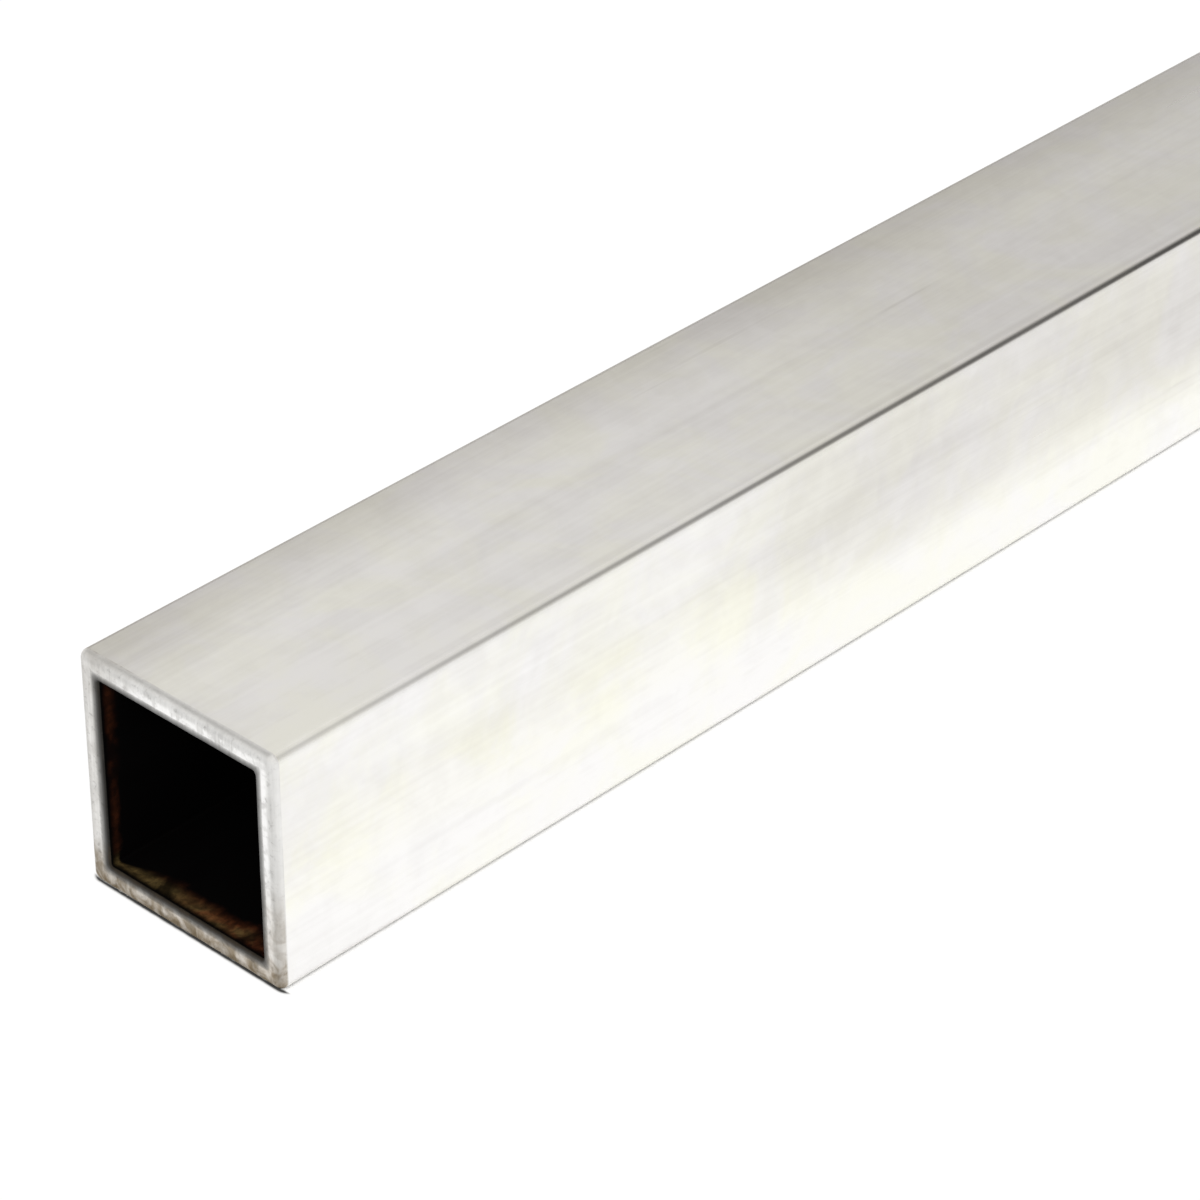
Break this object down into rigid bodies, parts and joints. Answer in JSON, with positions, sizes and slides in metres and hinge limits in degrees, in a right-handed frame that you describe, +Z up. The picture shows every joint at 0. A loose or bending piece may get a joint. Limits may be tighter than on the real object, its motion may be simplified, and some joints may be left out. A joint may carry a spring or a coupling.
{
  "type": "square metal tube",
  "caption": "Straight square metal tube with one square bore right through it, slightly rounded long corners and square-sawn, deburred ends.",
  "frame": {"origin": "middle of the underside, halfway along the tube", "axes": "+X along the tube, +Y across it, +Z up from the flat that it lies on"},
  "size_m": [0.5, 0.02, 0.02],
  "materials": {
    "tube_metal": "mill finish, satin, with fine lines along the length"
  },
  "bodies": {
    "root": {"square_tube": "tube_metal"}
  },
  "joints": []
}
